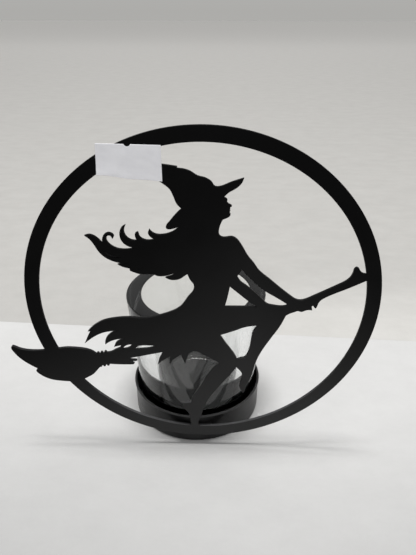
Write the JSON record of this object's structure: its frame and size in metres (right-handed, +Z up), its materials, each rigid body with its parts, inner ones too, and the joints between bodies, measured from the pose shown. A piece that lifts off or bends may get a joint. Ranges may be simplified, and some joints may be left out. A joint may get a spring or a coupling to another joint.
{
  "type": "tealight holder",
  "caption": "Flat black steel hoop with a cut-out witch on a broomstick, standing on a low round dish that holds a thick clear glass tealight cup.",
  "frame": {"origin": "centre of the round dish's flat underside, on the table", "axes": "+Z up, -Y is the front of the silhouette, +X is the way the witch flies"},
  "size_m": [0.172, 0.0764, 0.167],
  "materials": {
    "steel_black": "satin black powder coat",
    "weld_black": "satin black powder coat",
    "dish_black": "satin black powder coat",
    "rubber_black": "matte",
    "clear_glass": "clear, polished",
    "paper": "matte white"
  },
  "bodies": {
    "holder": {"witch_panel": "steel_black", "weld_beads": "weld_black", "base_dish": "dish_black", "price_label": "paper"},
    "glass": {"glass_cup": "clear_glass", "glass_pad": "rubber_black"}
  },
  "joints": [
    {"name": "glass_lift", "type": "slide", "parent": "holder", "child": "glass", "axis": [0, 0, 1], "range_m": [0, 0.09]}
  ]
}
